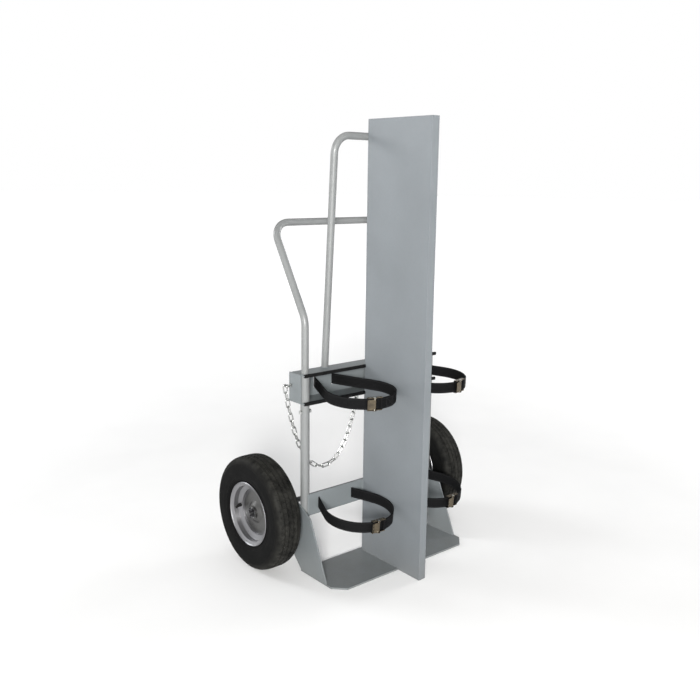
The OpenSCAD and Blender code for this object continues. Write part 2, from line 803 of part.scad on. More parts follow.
// Pressed rim half: flange, bead seat, drop centre and a dished disc to the hub
valve_at = [(bead_r + well_r) / 2, 16];
valve_lean = -atan2(8, bead_r - well_r);
valve_turn = 91;
module rim_half_body() {
    rotate_extrude($fn = 96) difference() {
        union() {
            polygon(turned(strip(rim_line, rim_t)));
            polygon(turned(strip(disc_line, rim_t)));
        }
        translate([0, -10]) square([200, 10 + weld_gap]);
        square([hub_r + weld_gap, 60]);
    }
}
module valve_frame(side) {
    rotate([0, 0, side == LEFT ? valve_turn : 180 - valve_turn]) translate([valve_at[0], 0, valve_at[1]])
        rotate([0, valve_lean, 0]) children();
}
module rim_outer(side) {
    color(silver) wheel(side) difference() {
        rim_half_body();
        valve_frame(side) cylinder(h = 20, r = 5.75, center = true);
    }
}
module rim_inner(side) {
    color(silver) wheel(side) mirror([0, 0, 1]) rim_half_body();
}
module hub(side) {
    color(silver) wheel(side) difference() {
        translate([0, 0, hub_in]) cylinder(h = hub_out - hub_in, r = hub_r);
        translate([0, 0, hub_in - 1]) cylinder(h = hub_out - hub_in + 2, r = bearing_r - 1.5);
        for (z = [hub_in - 1, hub_out - bearing_w]) translate([0, 0, z])
            cylinder(h = bearing_w + 1, r = bearing_r);
    }
}
module bearings(side) {
    color(zinc) wheel(side) for (z = [hub_in, hub_out - bearing_w]) translate([0, 0, z])
        rotate_extrude() difference() {
            translate([axle_r + run_gap, 0]) square([bearing_r - 0.02 - axle_r - run_gap, bearing_w]);
            for (y = [-1, bearing_w - 0.8]) translate([(axle_r + bearing_r) / 2 - 2.5, y]) square([5, 1.8]);
        }
}
module valve(side) {
    groove = rim_t / 2 + seat_gap;
    color(black) wheel(side) valve_frame(side) rotate_extrude()
        polygon([[0, -5], [7.5, -5], [7.5, -groove], [5.65, -groove], [5.65, groove], [7, groove],
            [7, 4], [5, 8], [4.6, 20], [4, 21], [4, 28], [0, 28]]);
}
module left_tyre() {
    tyre(LEFT);
}
module left_inner_tube() {
    inner_tube(LEFT);
}
module left_rim_outer() {
    rim_outer(LEFT);
}
module left_rim_inner() {
    rim_inner(LEFT);
}
module left_hub() {
    hub(LEFT);
}
module left_bearings() {
    bearings(LEFT);
}
module left_valve() {
    valve(LEFT);
}
module right_tyre() {
    tyre(RIGHT);
}
module right_inner_tube() {
    inner_tube(RIGHT);
}
module right_rim_outer() {
    rim_outer(RIGHT);
}
module right_rim_inner() {
    rim_inner(RIGHT);
}
module right_hub() {
    hub(RIGHT);
}
module right_bearings() {
    bearings(RIGHT);
}
module right_valve() {
    valve(RIGHT);
}

base_plate();
left_side_plate();
right_side_plate();
left_post();
right_post();
lower_cross_plate();
mid_channel();
left_end_plate();
right_end_plate();
upper_edge_trim();
lower_edge_trim();
rear_handle();
handle_bolts();
panel_pan();
panel_cover();
panel_core();
panel_hoop();
axle();
axle_spacers();
axle_washers();
cotter_pins();
left_upper_belt();
left_lower_belt();
right_upper_belt();
right_lower_belt();
left_upper_buckle();
left_lower_buckle();
right_upper_buckle();
right_lower_buckle();
left_upper_lever();
left_lower_lever();
right_upper_lever();
right_lower_lever();
buckle_pins();
left_chain();
right_chain();
chain_eyes();
chain_hooks();
left_tyre();
left_inner_tube();
left_rim_outer();
left_rim_inner();
left_hub();
left_bearings();
left_valve();
right_tyre();
right_inner_tube();
right_rim_outer();
right_rim_inner();
right_hub();
right_bearings();
right_valve();
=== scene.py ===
import json
import math

import bmesh
import bpy
import numpy as np
from mathutils import Matrix, Vector


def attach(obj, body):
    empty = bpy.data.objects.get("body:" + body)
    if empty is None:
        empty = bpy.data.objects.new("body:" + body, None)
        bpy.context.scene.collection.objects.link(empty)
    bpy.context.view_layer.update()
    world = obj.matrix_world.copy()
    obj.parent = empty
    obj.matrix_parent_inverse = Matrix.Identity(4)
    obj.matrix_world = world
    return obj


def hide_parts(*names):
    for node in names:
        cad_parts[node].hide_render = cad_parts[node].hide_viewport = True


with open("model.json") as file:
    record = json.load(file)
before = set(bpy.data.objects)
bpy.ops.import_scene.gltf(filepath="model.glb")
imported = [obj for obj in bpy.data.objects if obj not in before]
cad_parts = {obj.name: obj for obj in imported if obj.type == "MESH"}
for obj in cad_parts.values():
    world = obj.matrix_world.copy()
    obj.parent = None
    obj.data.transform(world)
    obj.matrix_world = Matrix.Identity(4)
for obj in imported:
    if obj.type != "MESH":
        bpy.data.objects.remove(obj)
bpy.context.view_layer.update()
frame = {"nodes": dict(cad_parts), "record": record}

scene = bpy.context.scene

# Sizes repeated from the part, in metres
POST_X, POST_Y, POST_R = 0.296, -0.0065, 0.0159
SIDE_IN, SIDE_FRONT = 0.312, -0.1565
BASE_T, BASE_FRONT, BASE_BACK = 0.006, -0.2235, -0.0115
PANEL_LEFT, PANEL_RIGHT, PANEL_BACK = -0.043, -0.013, -0.0225
CROSS_Z, CROSS_TOP, CROSS_BACK = 0.204, 0.282, -0.0165
CHANNEL_Z, CHANNEL_TOP = 0.610, 0.712
WEB_FRONT, WEB_BACK = 0.0525, 0.0565
TUBE_R = 0.0127
HOOP_X, HOOP_FOOT_Y, HOOP_BAR_Z = 0.176, 0.0388, 1.506
AXLE_Y, AXLE_Z, AXLE_R = 0.1245, 0.203, 0.0095
WHEEL_X, TYRE_R, TYRE_W = 0.4037, 0.203, 0.100
RIM_R, BEAD_W = 0.115, 0.0429
BAY_X, BAY_Y = 0.170, -0.1495
BELT_R, BELT_W, BELT_T = 0.1185, 0.038, 0.0035
BELT_MID = BELT_R + BELT_T / 2
BELT_GAP = 0.0001
BUCKLE_L, BAR_R, BAR_IN, SEAT_GAP = 0.052, 0.0025, 0.0005, 0.0003
LEVELS = {
    "upper": dict(face=WEB_FRONT, back=WEB_BACK, z=0.661, slot=0.040, droop=2.0),
    "lower": dict(face=PANEL_BACK, back=CROSS_BACK, z=0.243, slot=0.075, droop=5.0),
}
BUCKLE_ANGLE = {
    ("left", "upper"): 253,
    ("left", "lower"): 264,
    ("right", "upper"): 280,
    ("right", "lower"): 272,
}


# Materials

GRIME = (0.11, 0.105, 0.095)
RUBBER_FILM = (0.022, 0.021, 0.018)
TREAD_DUST = (0.030, 0.0295, 0.0265)
PAINT_EDGE, METAL_EDGE, RIM_EDGE = 0.0014, 0.0006, 0.001
CORD_PITCH, WARP_PITCH, EDGE_CORD_IN = 0.0026, 0.0022, 0.0042


class Nodes:
    """Short helpers for one material's node tree."""

    def __init__(self, name):
        self.material = bpy.data.materials.new(name)
        self.material.use_nodes = True
        self.tree = self.material.node_tree
        self.shader = self.tree.nodes["Principled BSDF"]

    def add(self, kind, out=0, settings=None, **inputs):
        """A new node's output. Inputs go by name, with _ for a space, or by place as i0, i1 and so on."""
        n = self.tree.nodes.new("ShaderNode" + kind)
        for key, value in (settings or {}).items():
            setattr(n, key, value)
        for key, value in inputs.items():
            key = int(key[1:]) if key[0] == "i" and key[1:].isdigit() else key.replace("_", " ")
            self.put(n.inputs[key], value)
        return n.outputs[out]

    def put(self, socket, value):
        if isinstance(value, bpy.types.NodeSocket):
            self.tree.links.new(value, socket)
        else:
            socket.default_value = value

    def set(self, **inputs):
        for key, value in inputs.items():
            self.put(self.shader.inputs[key.replace("_", " ")], value)

    def place(self):
        return self.add("TexCoord", out="Object")

    def from_axle(self, at):
        """Distance from the wheels' axis, the same at any turn of a wheel."""
        flat = self.add("VectorMath", settings={"operation": "MULTIPLY_ADD"},
                        i0=at, i1=(0.0, 1.0, 1.0), i2=(0.0, -AXLE_Y, -AXLE_Z))
        return self.add("VectorMath", out="Value", settings={"operation": "LENGTH"}, i0=flat)

    def noise(self, at, scale, detail=3.0, rough=0.55):
        return self.add("TexNoise", Vector=at, Scale=scale, Detail=detail, Roughness=rough)

    def cells(self, at, scale):
        colour = self.add("TexVoronoi", out="Color", Vector=at, Scale=scale)
        return self.add("RGBToBW", i0=colour)

    def math(self, kind, a, b=0.0, clamp=False):
        return self.add("Math", settings={"operation": kind, "use_clamp": clamp}, i0=a, i1=b)

    def ramp(self, fac, *stops):
        """A colour ramp through stops of (position, colour or grey)."""
        n = self.tree.nodes.new("ShaderNodeValToRGB")
        for e, (at, colour) in zip(n.color_ramp.elements, stops):
            e.position = at
            e.color = (*colour, 1) if isinstance(colour, tuple) else (colour, colour, colour, 1)
        self.tree.links.new(fac, n.inputs[0])
        return n.outputs[0]

    def mix(self, fac, a, b):
        n = self.tree.nodes.new("ShaderNodeMix")
        n.data_type = "RGBA"
        self.put(n.inputs[0], fac)
        self.put(n.inputs[6], a)
        self.put(n.inputs[7], (*b, 1))
        return n.outputs[2]

    def bump(self, height, distance, strength=1.0, normal=None):
        n = self.tree.nodes.new("ShaderNodeBump")
        n.inputs["Strength"].default_value = strength
        n.inputs["Distance"].default_value = distance
        self.tree.links.new(height, n.inputs["Height"])
        if normal is not None:
            self.tree.links.new(normal, n.inputs["Normal"])
        return n.outputs[0]

    def soft_normal(self, radius):
        """The normal with sharp edges rounded off."""
        return self.add("Bevel", settings={"samples": 4}, Radius=radius)

    def edges(self, soft):
        """A mask that rises along sharp edges, where the softened normal leaves the true one."""
        true = self.add("NewGeometry", out="Normal")
        dot = self.add("VectorMath", out="Value", settings={"operation": "DOT_PRODUCT"}, i0=soft, i1=true)
        return self.math("SUBTRACT", 1.0, dot, clamp=True)


def shade(colour, k):
    return tuple(c * k for c in colour)


def paint(name, colour, rough, coat=0.35, grime=True):
    """Paint with faint specks, edges lighter from wear and as a painted highlight, and, near the floor, grime.
    """
    m = Nodes(name)
    at = m.place()
    drift = m.noise(at, scale=4.0, detail=4.0)
    speck = m.noise(at, scale=150.0, detail=4.0, rough=0.65)
    wear = m.noise(at, scale=60.0, detail=5.0, rough=0.7)
    peel = m.noise(at, scale=420.0, detail=2.0)
    soft = m.soft_normal(PAINT_EDGE)
    tone = m.ramp(drift, (0.3, shade(colour, 0.93)), (0.7, shade(colour, 1.06)))
    tone = m.mix(m.ramp(speck, (0.64, 0.0), (0.8, 0.25)), tone, shade(colour, 0.75))
    # Sharp edges go lighter in worn patches: partly wear, partly a painted highlight.
    wear_and_edge_highlight = m.math("MULTIPLY", m.ramp(m.edges(soft), (0.03, 0.0), (0.25, 0.8)),
                  m.ramp(wear, (0.42, 0.1), (0.6, 1.0)))
    tone = m.mix(wear_and_edge_highlight, tone, shade(colour, 1.45))
    if grime:
        height = m.add("SeparateXYZ", out="Z", Vector=at)
        patch = m.noise(at, scale=22.0, detail=5.0)
        low = m.math("MULTIPLY", m.ramp(height, (0.0, 0.5), (0.14, 0.0)), patch)
        tone = m.mix(low, tone, GRIME)
    m.set(Base_Color=tone, Roughness=m.ramp(speck, (0.3, rough - 0.05), (0.75, rough + 0.1)))
    m.set(Normal=m.bump(peel, 0.00007, 0.5, soft))
    m.set(Specular_IOR_Level=0.35 + 0.7 * coat, Coat_Weight=coat, Coat_Roughness=0.16)
    return m.material


def metal(name, colour, rough, tint=None):
    """Plated or bare metal with small crystals and a clouded tint."""
    m = Nodes(name)
    at = m.place()
    crystal = m.cells(at, scale=260.0)
    cloud = m.noise(at, scale=38.0, detail=4.0)
    polish = m.noise(at, scale=170.0, detail=4.0)
    grain = m.noise(at, scale=900.0, detail=2.0)
    tone = m.ramp(crystal, (0.1, shade(colour, 0.86)), (0.9, shade(colour, 1.08)))
    tone = m.mix(m.ramp(cloud, (0.4, 0.0), (0.66, 0.75)), tone, tint or shade(colour, 0.8))
    m.set(Base_Color=tone, Metallic=1.0)
    m.set(Roughness=m.ramp(polish, (0.3, rough - 0.07), (0.7, rough + 0.12)))
    m.set(Normal=m.bump(grain, 0.00006, 0.5, m.soft_normal(METAL_EDGE)))
    return m.material


def rubber(name, colour, rough, dust, edge_r=0.0012, tread=False):
    """Dull rubber with a thin film of dust, on a tyre a paler running face, and lighter along sharp edges as a
    painted highlight.
    """
    m = Nodes(name)
    at = m.place()
    cloud = m.noise(at, scale=14.0, detail=5.0, rough=0.6)
    spots = m.noise(at, scale=55.0, detail=6.0, rough=0.7)
    grain = m.noise(at, scale=900.0, detail=3.0)
    soft = m.soft_normal(edge_r)
    tone = m.ramp(cloud, (0.3, shade(colour, 0.8)), (0.7, shade(colour, 1.2)))
    film = m.math("MULTIPLY", m.ramp(spots, (0.5, 0.0), (0.75, 1.0)), dust)
    tone = m.mix(film, tone, RUBBER_FILM)
    if tread:
        far = m.math("MULTIPLY", m.from_axle(at), 1 / TYRE_R)
        run = m.ramp(far, (0.86, 0.0), (0.985, 0.85))
        patch = m.noise(at, scale=34.0, detail=6.0, rough=0.65)
        tone = m.mix(m.math("MULTIPLY", run, m.ramp(patch, (0.35, 0.15), (0.68, 1.0))), tone, TREAD_DUST)
    # Lighter along sharp edges: a painted highlight.
    tone = m.mix(m.ramp(m.edges(soft), (0.05, 0.0), (0.4, 0.3)), tone, shade(colour, 2.2))
    m.set(Base_Color=tone, Roughness=m.ramp(cloud, (0.3, rough - 0.08), (0.7, rough + 0.1)))
    m.set(Specular_IOR_Level=0.05)
    m.set(Normal=m.bump(grain, 0.00012, 0.5, soft))
    return m.material


def rim(name, dish_painted_shade, lip_painted_highlight, rough):
    """Silver lacquer, lighter on the flange and walls as a painted highlight, and darker on the disc as painted
    shade.
    """
    m = Nodes(name)
    at = m.place()
    far = m.math("MULTIPLY", m.from_axle(at), 1 / RIM_R)
    smear = m.noise(at, scale=26.0, detail=5.0, rough=0.6)
    fleck = m.cells(at, scale=1400.0)
    polish = m.noise(at, scale=120.0, detail=4.0)
    grain = m.noise(at, scale=700.0, detail=2.0)
    # The disc is darker as painted shade in the wheel's hollow.
    tone = m.ramp(smear, (0.3, shade(dish_painted_shade, 0.9)), (0.7, shade(dish_painted_shade, 1.12)))
    # The flange and walls, out from the axle, are lighter as a painted highlight.
    tone = m.mix(m.ramp(far, (0.60, 0.0), (0.76, 1.0)), tone, lip_painted_highlight)
    tone = m.mix(m.ramp(fleck, (0.55, 0.0), (0.9, 0.07)), tone, shade(lip_painted_highlight, 1.15))
    m.set(Base_Color=tone, Metallic=0.85)
    m.set(Roughness=m.ramp(polish, (0.3, rough - 0.06), (0.7, rough + 0.12)))
    m.set(Normal=m.bump(grain, 0.00003, 0.4, m.soft_normal(RIM_EDGE)))
    return m.material


def webbing(name):
    """Plain woven strap: cords across, warp ribs along, and a corded line inside each edge."""
    m = Nodes(name)
    uv = m.add("UVMap", settings={"uv_map": "weave"})
    along = m.add("SeparateXYZ", out="X", Vector=uv)
    across = m.add("SeparateXYZ", out="Y", Vector=uv)
    cord = m.math("SINE", m.math("MULTIPLY", along, 2 * math.pi / CORD_PITCH))
    warp = m.math("SINE", m.math("MULTIPLY", across, 2 * math.pi / WARP_PITCH))
    lay = m.math("MULTIPLY", m.math("MULTIPLY", cord, warp), 0.4)
    rib = m.math("MULTIPLY", m.math("ABSOLUTE", warp), 0.6)
    off = m.math("SUBTRACT", m.math("ABSOLUTE", across), BELT_W / 2 - EDGE_CORD_IN)
    off = m.math("MULTIPLY", m.math("ABSOLUTE", off), 600.0)
    line = m.ramp(off, (0.35, 1.0), (0.75, 0.0))
    height = m.math("ADD", m.math("ADD", lay, rib), line)
    fuzz = m.noise(m.place(), scale=240.0, detail=5.0, rough=0.7)
    # The tone follows the weave's height: darker in its hollows as painted shade, lighter on the cords and ribs
    # as a painted highlight.
    tone = m.ramp(height, (0.0, (0.0019, 0.0019, 0.0021)), (0.9, (0.0125, 0.0128, 0.0136)))
    tone = m.mix(m.ramp(fuzz, (0.5, 0.0), (0.75, 0.4)), tone, (0.0132, 0.0135, 0.0142))
    m.set(Base_Color=tone, Roughness=m.ramp(height, (0.0, 0.76), (0.9, 0.58)))
    m.set(Specular_IOR_Level=0.05)
    m.set(Normal=m.bump(height, 0.0006))
    return m.material


def board(name):
    """Pale fibre board."""
    m = Nodes(name)
    at = m.place()
    fibre = m.noise(at, scale=90.0, detail=6.0)
    grain = m.noise(at, scale=300.0, detail=4.0)
    m.set(Base_Color=m.ramp(fibre, (0.3, (0.6, 0.56, 0.48)), (0.7, (0.72, 0.68, 0.6))))
    m.set(Roughness=m.ramp(fibre, (0.3, 0.94), (0.7, 0.84)))
    m.set(Normal=m.bump(grain, 0.0003))
    return m.material


mats = {
    "frame_paint": paint("frame_paint", (0.147, 0.163, 0.170), rough=0.46, coat=0.06),
    # The tubes' paint is the frame's paint made lighter and less blue: a painted highlight.
    "tube_paint_painted_highlight": paint("tube_paint_painted_highlight", (0.166, 0.172, 0.173), rough=0.36, coat=0.1),
    "panel_paint": paint("panel_paint", (0.140, 0.154, 0.165), rough=0.52, coat=0.04),
    "rim_paint": rim("rim_paint", dish_painted_shade=(0.104, 0.104, 0.102), lip_painted_highlight=(0.238, 0.238, 0.248), rough=0.33),
    "black_paint": paint("black_paint", (0.014, 0.014, 0.015), rough=0.38, grime=False),
    "zinc": metal("zinc", (0.52, 0.53, 0.52), rough=0.24, tint=(0.34, 0.34, 0.33)),
    "yellow_zinc": metal("yellow_zinc", (0.170, 0.140, 0.098), rough=0.22, tint=(0.088, 0.074, 0.057)),
    "dark_steel": metal("dark_steel", (0.085, 0.086, 0.09), rough=0.3),
    "bearing_steel": metal("bearing_steel", (0.5, 0.51, 0.52), rough=0.28),
    "edge_rubber": rubber("edge_rubber", (0.007, 0.007, 0.0075), rough=0.45, dust=0.3, edge_r=0.0018),
    "tyre": rubber("tyre", (0.0034, 0.0035, 0.0036), rough=0.6, dust=0.22, tread=True),
    "tube_rubber": rubber("tube_rubber", (0.012, 0.012, 0.012), rough=0.6, dust=0.2),
    "webbing": webbing("webbing"),
    "thread": rubber("thread", (0.032, 0.032, 0.035), rough=0.55, dust=0.2, edge_r=0.0003),
    "board": board("board"),
}

# Nodes that look a little different from the rest of their slot: the tubes' paint is lighter, a painted
# highlight, and the washers and cotter pins are dark steel
LOOKS = dict.fromkeys(("left_post", "right_post", "rear_handle", "panel_hoop"), "tube_paint_painted_highlight")
LOOKS.update(dict.fromkeys(("axle_washers", "cotter_pins"), "dark_steel"))
slot_of = {s["node"]: s["material_slot"] for s in frame["record"]["subparts"]}
for node, obj in frame["nodes"].items():
    obj.data.materials.clear()
    obj.data.materials.append(mats[LOOKS.get(node, slot_of[node])])


# Mesh helpers

def make(name, verts, faces, slot, body, replaces=(), uvs=None, sharp=None, look=None):
    """One piece that rides a body, in a material slot, with the nodes that it replaces."""
    mesh = bpy.data.meshes.new(name)
    mesh.from_pydata([tuple(v) for v in verts], [], faces)
    mesh.validate()
    if uvs is not None:
        index = np.empty(len(mesh.loops), dtype=int)
        mesh.loops.foreach_get("vertex_index", index)
        mesh.uv_layers.new(name="weave").data.foreach_set("uv", np.array(uvs)[index].ravel())
    shell = bmesh.new()
    shell.from_mesh(mesh)
    bmesh.ops.recalc_face_normals(shell, faces=shell.faces)
    shell.to_mesh(mesh)
    shell.free()
    mesh.polygons.foreach_set("use_smooth", [True] * len(mesh.polygons))
    if sharp:
        mesh.set_sharp_from_angle(angle=math.radians(sharp))
    mesh.materials.append(mats[look or slot])
    mesh.update()
    obj = bpy.data.objects.new(name, mesh)
    scene.collection.objects.link(obj)
    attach(obj, body)
    for node in replaces:
        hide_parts(node)


def tube_faces(rows, cols, closed):
    """Faces of a tube of rows, joined end to end or else capped."""
    faces = []
    for i in range(rows if closed else rows - 1):
        a, b = i * cols, (i + 1) % rows * cols
        for j in range(cols):
            k = (j + 1) % cols
            faces.append((a + j, b + j, b + k, a + k))
    if not closed:
        last = (rows - 1) * cols
        faces += [tuple(range(cols))[::-1], tuple(range(last, last + cols))]
    return faces


def gather(verts, faces, part):
    """Adds a part's own verts and faces to lists that hold several parts."""
    part_verts, part_faces = part
    faces += [tuple(len(verts) + i for i in face) for face in part_faces]
    verts += part_verts


# Tyres: ribs parted by saw-edged grooves, and ringed walls

TEETH, TOOTH_STEPS = 64, 8
GROOVES, GROOVE_DEPTH, GROOVE_SLANT = (0.0090, 0.0265), 0.0045, 0.0006
GROOVE_HALF, TOOTH_REACH = 0.0014, 0.0028
RIB_POINTS, EDGE_POINTS = 6, 10
# Short cuts in the ribs: the step of each tooth and the columns of points that they take
CUTS, CUT_DEPTH = ((4, 2, 5), (0, 9, 12), (4, 17, 20)), 0.0026
TREAD_EDGE, SHOULDER = 0.0475, 0.045
RING_RADII, RING_W, RING_H = (0.1275, 0.1330, 0.1500), 0.0011, 0.0009
SHOULDER_RIB_R, SHOULDER_RIB_W, SHOULDER_RIB_H = 0.1790, 0.0020, 0.0013
BEAD_RISE = 0.004
# Inside of the tyre from the bead to the crown: (across, radius)
LINING = [(0.0415, 0.1125), (0.0368, 0.1030), (0.0287, 0.1030), (0.034, 0.12), (0.042, 0.155), (0.038, 0.185)]
LINING_CROWN = (0.0, 0.191)


def crown(x):
    """Radius of the tread's face at a distance from its middle."""
    return TYRE_R - SHOULDER + SHOULDER * np.power(np.maximum(0.0, 1 - (x / (TYRE_W / 2)) ** 4), 0.25)


def tread_half(beat):
    """One side of the tread: rows of (across, radius), one row for each step round the tyre."""
    lean = [GROOVE_HALF + TOOTH_REACH * ((beat + shift) % 1.0) for shift in (0.0, 0.5)]
    across, down, start = [], [], np.zeros_like(beat)
    for k, at in enumerate(GROOVES):
        left, right = at - lean[k], at + lean[1 - k]
        across += [start + (left - start) * f for f in np.linspace(0, 1, RIB_POINTS)]
        across += [left + GROOVE_SLANT, right - GROOVE_SLANT]
        down += [0.0] * RIB_POINTS + [GROOVE_DEPTH] * 2
        start = right
    across += [start + (TREAD_EDGE - start) * f for f in np.linspace(0, 1, EDGE_POINTS)]
    down += [0.0] * EDGE_POINTS
    x = np.stack(across, axis=1)
    r = crown(x) - np.array(down)[None, :]
    for step, first, end in CUTS:
        r[step::TOOTH_STEPS, first:end] -= CUT_DEPTH
    return x, r


def wall_half():
    """One wall from the tread's edge to the bead, with a shoulder rib and low rings: (across, radius)."""
    half, side_r, foot_x, foot_r = TYRE_W / 2, TYRE_R - SHOULDER, BEAD_W, RIM_R + BEAD_RISE
    turn = np.radians(np.linspace(65, 90, 22)[1:])
    x = half * np.sqrt(np.sin(turn))
    r = side_r + SHOULDER * np.sqrt(np.maximum(0.0, np.cos(turn)))
    turn = np.radians(np.linspace(3, 90, 42))
    x = np.append(x, foot_x + (half - foot_x) * np.cos(turn))
    r = np.append(r, side_r - (side_r - foot_r) * np.sin(turn))
    rings = sum(np.exp(-((r - at) / RING_W) ** 2) for at in RING_RADII)
    rib = np.exp(-((r - SHOULDER_RIB_R) / SHOULDER_RIB_W) ** 2)
    return np.minimum(x + RING_H * rings + SHOULDER_RIB_H * rib, half), r


def tyre(side):
    """A tyre's whole section, carried round the axle step by step."""
    sign = -1 if side == "left" else 1
    steps = TEETH * TOOTH_STEPS
    beat = np.arange(steps) / TOOTH_STEPS
    wall_x, wall_r = (np.tile(v, (steps, 1)) for v in wall_half())
    right_x, right_r = tread_half(beat)
    left_x, left_r = tread_half(beat + 0.25)
    lining = LINING + [LINING_CROWN] + [(-a, b) for a, b in LINING[::-1]]
    lining_x, lining_r = (np.tile(v, (steps, 1)) for v in np.array(lining).T)
    x = np.hstack([-wall_x[:, ::-1], -left_x[:, :0:-1], right_x, wall_x, lining_x])
    r = np.hstack([wall_r[:, ::-1], left_r[:, :0:-1], right_r, wall_r, lining_r])
    turn = (2 * math.pi / TEETH * beat)[:, None]
    verts = np.stack([sign * WHEEL_X + x, AXLE_Y + r * np.cos(turn), AXLE_Z + r * np.sin(turn)], axis=2)
    make(f"{side}_tyre_body", verts.reshape(-1, 3).tolist(), tube_faces(steps, x.shape[1], True), "tyre",
         f"{side}_wheel", [f"{side}_tyre"], sharp=40)


# Belts: a flat woven strap through both slots and round the bay

ARC_POINTS, RUN_POINTS, TURN_POINTS, BACK_POINTS = 44, 14, 7, 10
FLAT_EXTRA = 0.010
SLOT_TURN = 0.0045
FOLD_T, FOLD_RUN, FOLD_START = 0.0018, 0.052, 0.005
FOLD_NARROWER, BAR_GAP = 0.0006, 0.00015
# The sewn box: its two ends along the fold, its half width, and the stitches
BOX_NEAR, BOX_FAR, BOX_HALF = 0.012, FOLD_RUN - 0.005, 0.0145
STITCH_PITCH, STITCH_R, STITCH_LIFT = 0.0042, 0.00045, 0.0002
STITCH_FROM, STITCH_TO = 0.15, 0.85


def belt_path(side, level):
    """Closed middle line of a belt as (point, width direction), its placing function and its buckle's angles."""
    p = LEVELS[level]
    sign = -1 if side == "left" else 1
    tilt = Matrix.Rotation(math.radians(p["droop"]), 3, "X")
    pivot = Vector((sign * BAY_X, p["face"], p["z"]))
    up = Vector((0, 0, 1))
    wide = tilt @ up

    def front(x, y):
        return pivot + tilt @ Vector((x, BAY_Y - p["face"] + y, 0)), wide

    # Where the straight run leaves the round, and where it would meet the line behind the sheet
    mid_y = (p["face"] + p["back"]) / 2 - BAY_Y
    leave = math.atan2(mid_y, p["slot"]) - math.acos(BELT_MID / math.hypot(p["slot"], mid_y))
    leave_x, leave_y = BELT_MID * math.cos(leave), BELT_MID * math.sin(leave)
    run_x, run_y = p["slot"] - leave_x, mid_y - leave_y
    behind_y = p["back"] + BELT_GAP + BELT_T / 2
    reach = leave_x + run_x * (behind_y - BAY_Y - leave_y) / run_y

    # Round the bay in two arcs, with the buckle's flat between them
    buckle = math.radians(BUCKLE_ANGLE[side, level])
    flat = math.asin((BUCKLE_L + FLAT_EXTRA) / 2 / BELT_MID)
    line = []
    for a, b in ((math.pi - leave, buckle - flat), (buckle + flat, 2 * math.pi + leave)):
        line += [front(BELT_MID * math.cos(t), BELT_MID * math.sin(t)) for t in np.linspace(a, b, ARC_POINTS)]

    # Through each slot, and along behind the sheet
    corner = {}
    for s in (1, -1):
        a = front(s * leave_x, leave_y)[0]
        c = Vector((sign * BAY_X + s * reach, behind_y, p["z"]))
        before = c + (a - c).normalized() * SLOT_TURN
        after = c - Vector((s, 0, 0)) * SLOT_TURN
        corner[s] = [(a.lerp(before, f), wide) for f in np.linspace(0, 1, RUN_POINTS)[1:]]
        for f in np.linspace(0, 1, TURN_POINTS)[1:]:
            q = before.lerp(c, f).lerp(c.lerp(after, f), f)
            corner[s].append((q, wide.lerp(up, f).normalized()))
    line += corner[1]
    ends = corner[1][-1][0], corner[-1][-1][0]
    line += [(ends[0].lerp(ends[1], f), up) for f in np.linspace(0, 1, BACK_POINTS)[1:-1]]
    line += corner[-1][::-1]
    return line, front, buckle, flat


def strap_section(width, thick):
    """Outline of a strap, flat with round edges: (across, out)."""
    w, t = width / 2, thick / 2
    edge = 0.7 * t
    face = [(a, t) for a in np.linspace(-w + edge, w - edge, 9)[1:-1]]
    side = [(w - edge + edge * math.sin(a), t * math.cos(a)) for a in np.linspace(0, math.pi, 7)]
    half = face + side
    return half + [(-a, -b) for a, b in half]


def ribbon(name, line, width, thick, closed, replaces=()):
    """A strap of even width along a line of (point, width direction)."""
    n, section = len(line), strap_section(width, thick)
    verts, uvs, far = [], [], 0.0
    for i, (at, wide) in enumerate(line):
        ahead = line[(i + 1) % n][0] if closed or i < n - 1 else at
        behind = line[i - 1][0] if closed or i else at
        out = (ahead - behind).normalized().cross(wide).normalized()
        if i:
            far += (at - line[i - 1][0]).length
        verts += [at + wide * a + out * b for a, b in section]
        uvs += [(far, a) for a, b in section]
    make(name, verts, tube_faces(n, len(section), closed), "webbing", "frame", replaces, uvs=uvs, sharp=50)


